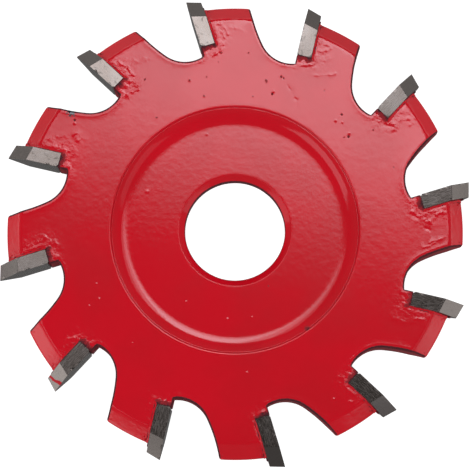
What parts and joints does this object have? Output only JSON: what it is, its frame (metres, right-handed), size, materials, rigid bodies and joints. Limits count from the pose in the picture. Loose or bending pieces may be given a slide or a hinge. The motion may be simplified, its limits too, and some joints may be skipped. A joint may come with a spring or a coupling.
{
  "type": "grooving saw blade",
  "caption": "Thick disc blade for cutting V grooves, with brazed bevelled carbide tips, deep round gullets, a dished centre on both sides and a plain chamfered arbor hole.",
  "frame": {"origin": "centre of the arbor hole, half way through the blade's thickness", "axes": "+Z along the arbor hole; with +Z towards the viewer the tips cut counter-clockwise; the first cutting corner stands 12.15 degrees from +X towards +Y"},
  "size_m": [0.1174, 0.1174, 0.0104],
  "materials": {
    "red_paint": "thick gloss red paint with fine runs, specks and a chip",
    "carbide": "ground tungsten carbide, fine grinding lines",
    "painted_braze": "lumpy braze bead under the same gloss red paint"
  },
  "bodies": {
    "root": {"blade_body": "red_paint", "carbide_tip_01": "carbide", "carbide_tip_02": "carbide", "carbide_tip_03": "carbide", "carbide_tip_04": "carbide", "carbide_tip_05": "carbide", "carbide_tip_06": "carbide", "carbide_tip_07": "carbide", "carbide_tip_08": "carbide", "carbide_tip_09": "carbide", "carbide_tip_10": "carbide", "carbide_tip_11": "carbide", "carbide_tip_12": "carbide", "braze_joint_01": "painted_braze", "braze_joint_02": "painted_braze", "braze_joint_03": "painted_braze", "braze_joint_04": "painted_braze", "braze_joint_05": "painted_braze", "braze_joint_06": "painted_braze", "braze_joint_07": "painted_braze", "braze_joint_08": "painted_braze", "braze_joint_09": "painted_braze", "braze_joint_10": "painted_braze", "braze_joint_11": "painted_braze", "braze_joint_12": "painted_braze"}
  },
  "joints": []
}
